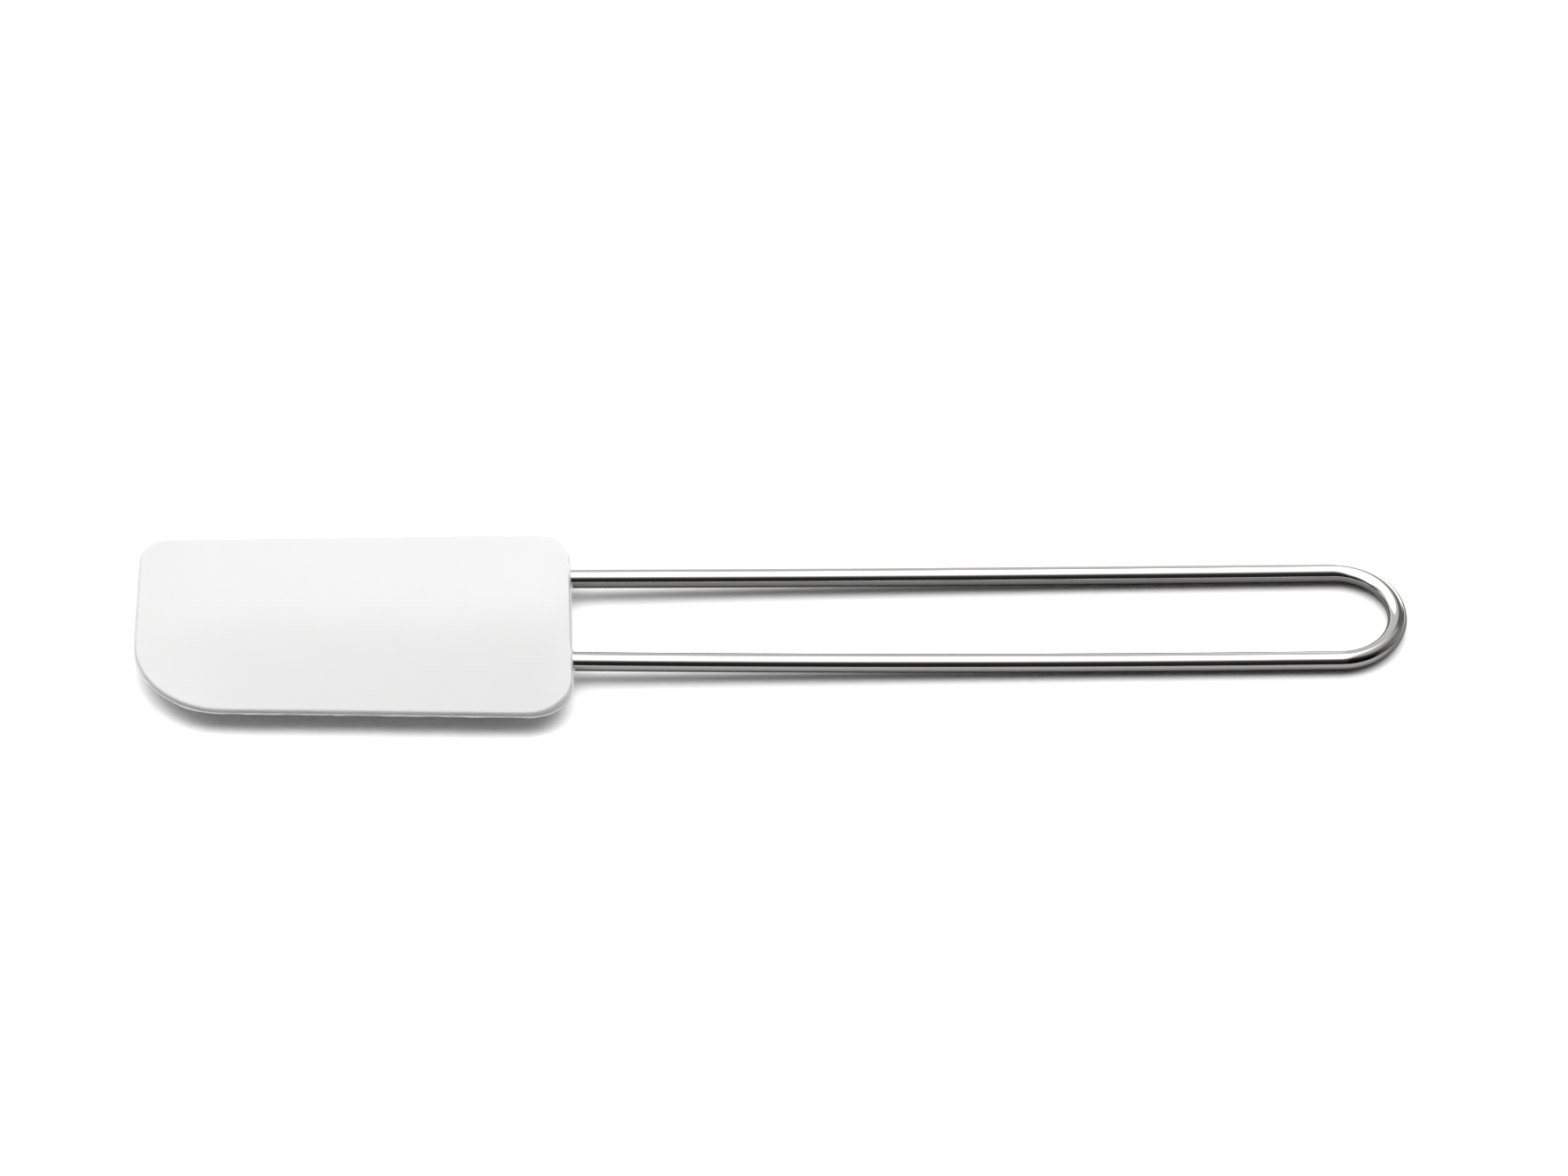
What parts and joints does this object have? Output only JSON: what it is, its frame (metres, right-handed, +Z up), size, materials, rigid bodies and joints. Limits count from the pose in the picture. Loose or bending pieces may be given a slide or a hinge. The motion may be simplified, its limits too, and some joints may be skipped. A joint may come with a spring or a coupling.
{
  "type": "silicone spatula",
  "caption": "Soft silicone scraper blade moulded over a steel core plate, on a long looped handle bent from polished steel wire, for scraping bowls and spreading.",
  "frame": {"origin": "middle of the whole object's footprint, on the surface that it lies on", "axes": "+X along the length, from the blade's tip to the handle's loop; +Y across, away from the blade's large rounded corner; +Z up, square to the surface"},
  "size_m": [0.264, 0.052, 0.008],
  "materials": {
    "silicone": "satin",
    "spring_steel": "satin",
    "polished_wire": "polished"
  },
  "bodies": {
    "root": {"blade": "silicone", "core_plate": "spring_steel", "handle_wire": "polished_wire"}
  },
  "joints": []
}
